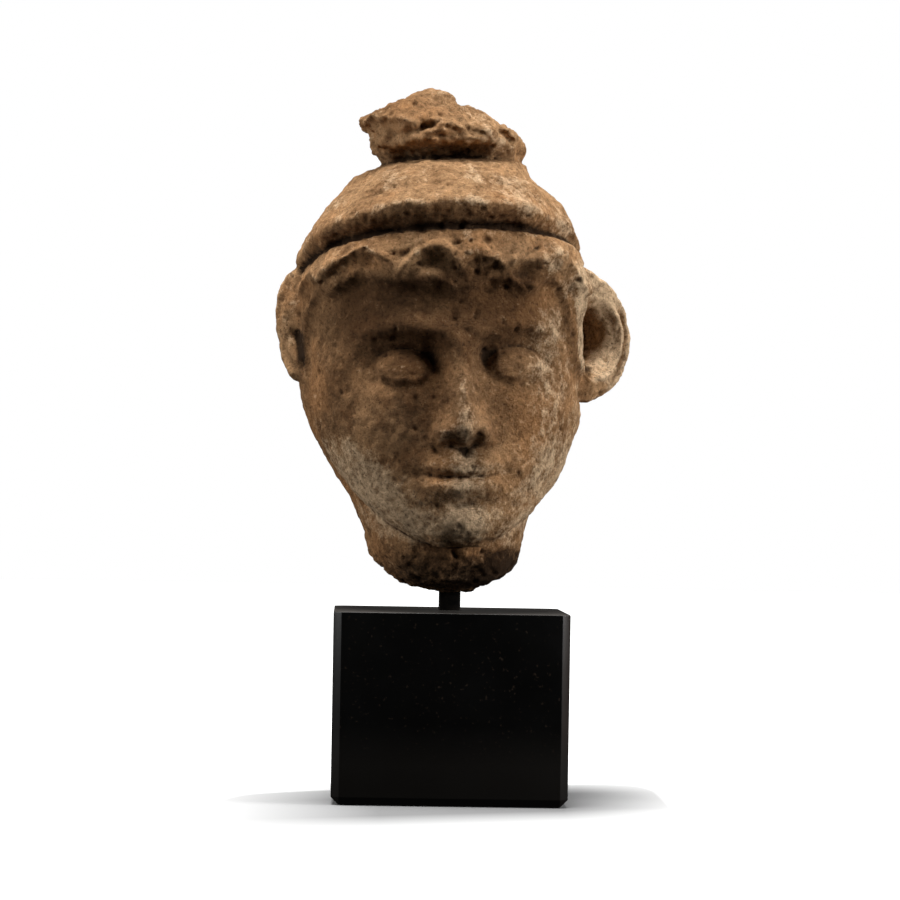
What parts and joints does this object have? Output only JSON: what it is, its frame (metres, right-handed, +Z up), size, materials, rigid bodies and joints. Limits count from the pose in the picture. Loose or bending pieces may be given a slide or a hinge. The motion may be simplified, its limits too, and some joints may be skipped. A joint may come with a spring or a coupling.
{
  "type": "terracotta head sculpture",
  "caption": "Weathered terracotta head with a topknot, a rimmed cap of hair and a fringe of curls, carried by a square steel bar on a black wooden block",
  "frame": {"origin": "middle of the underside of the block, where the sculpture stands", "axes": "+Z up through the bar and the head, the front of the block and the face look along -Y, +X to the right of someone who faces it"},
  "size_m": [0.1081, 0.0955, 0.2145],
  "materials": {
    "terracotta": "worn unglazed brown clay with pale remains of slip and dark dirt in the hollows",
    "blackened_steel": "blackened, satin",
    "black_lacquer": "black satin lacquer"
  },
  "bodies": {
    "root": {"head": "terracotta", "bar": "blackened_steel", "block": "black_lacquer"}
  },
  "joints": []
}
